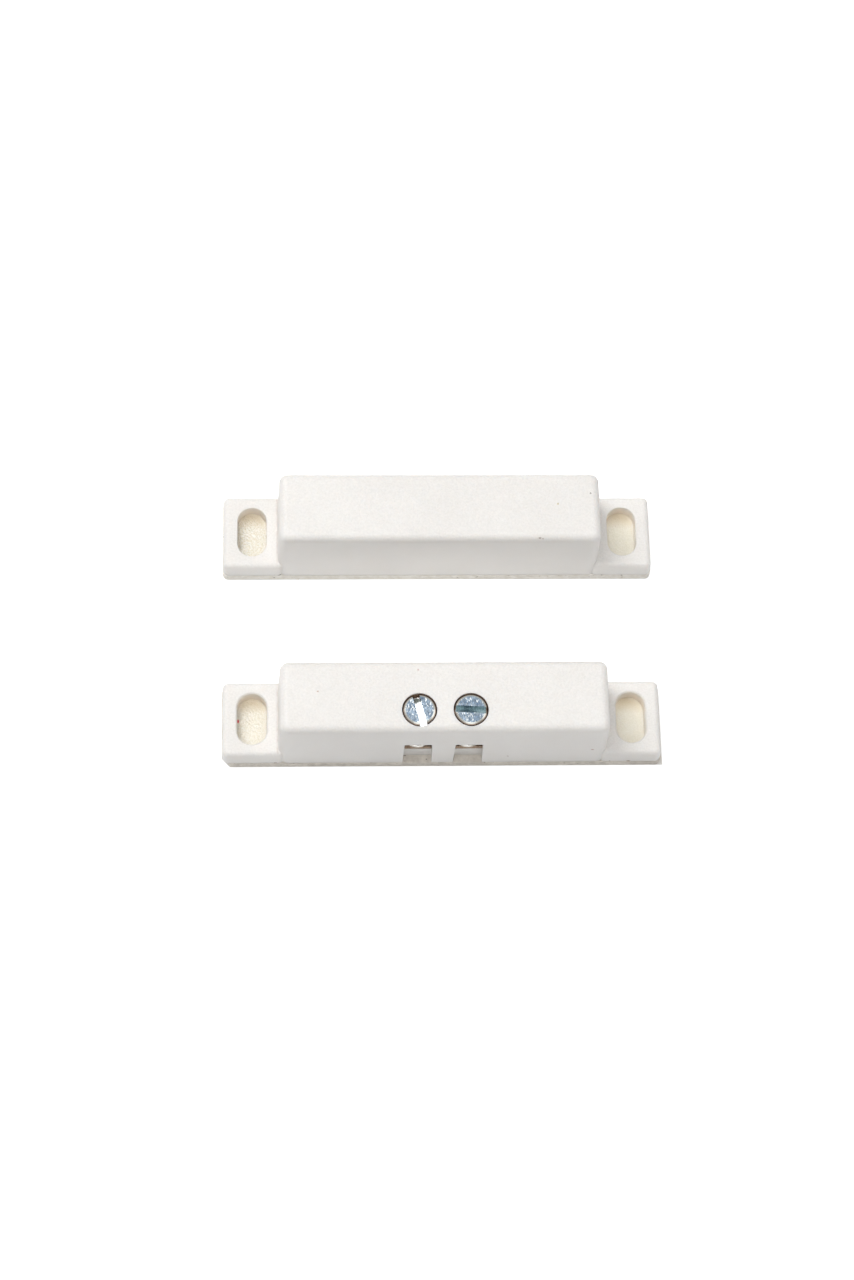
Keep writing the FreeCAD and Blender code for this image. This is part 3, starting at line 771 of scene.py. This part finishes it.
world = bpy.data.worlds.new("studio")
bpy.context.scene.world = world
world.use_nodes = True
background = next(n for n in world.node_tree.nodes if n.type == "BACKGROUND")
strength = add(world.node_tree, "MapRange", {"Value": seenRays(world.node_tree),
                                             "To Min": studio["sky"]})
background.inputs["Color"].default_value = (1.0, 1.0, 1.0, 1.0)
world.node_tree.links.new(strength.outputs[0], background.inputs["Strength"])

for name, box in softboxes.items():
    data = bpy.data.lights.new(name, "AREA")
    data.shape = "DISK"
    data.size = box["size"]
    data.energy = box["power"]
    lamp = bpy.data.objects.new(name, data)
    lamp.location = box["place"]
    lamp.rotation_euler = (Vector(aim) - lamp.location).to_track_quat("-Z", "Y").to_euler()
    bpy.context.scene.collection.objects.link(lamp)

# The camera is fitted to the photo's edges, slots, screws and notches. Lengths are in mm and turns
# in degrees, but the focal length and the image height are in pixels, and the camera sees from
# clipStart to clipEnd in metres.
cameraFit = {"focal": 2911.62, "elevation": 67.776, "azimuth": -7.429, "roll": 6.674,
             "distance": 430.146, "lookX": -1.683, "lookY": 13.847, "imageHeight": 1280,
             "sensorWidth": 36.0, "clipStart": 0.02, "clipEnd": 10.0}


def fittedCamera(fit):
    elevation, azimuth, roll = (math.radians(fit[k]) for k in ("elevation", "azimuth", "roll"))
    back = Vector((math.sin(azimuth) * math.cos(elevation),
                   -math.cos(azimuth) * math.cos(elevation), math.sin(elevation)))
    level = Vector((math.cos(azimuth), math.sin(azimuth), 0.0))
    upright = back.cross(level)
    right = math.cos(roll) * level + math.sin(roll) * upright
    up = math.cos(roll) * upright - math.sin(roll) * level
    stand = Vector((fit["lookX"], fit["lookY"], 0.0)) + back * fit["distance"]
    data = bpy.data.cameras.new("camera")
    data.sensor_width = fit["sensorWidth"]
    data.lens = fit["focal"] / fit["imageHeight"] * data.sensor_width
    data.clip_start = fit["clipStart"]
    data.clip_end = fit["clipEnd"]
    camera = bpy.data.objects.new("camera", data)
    turn = Matrix((right, up, back)).transposed().to_4x4()
    camera.matrix_world = Matrix.Translation(stand * mm) @ turn
    bpy.context.scene.collection.objects.link(camera)
    return camera


bpy.context.scene.camera = fittedCamera(cameraFit)
bpy.context.scene.view_settings.view_transform = "Standard"
print("floor, light and camera set")
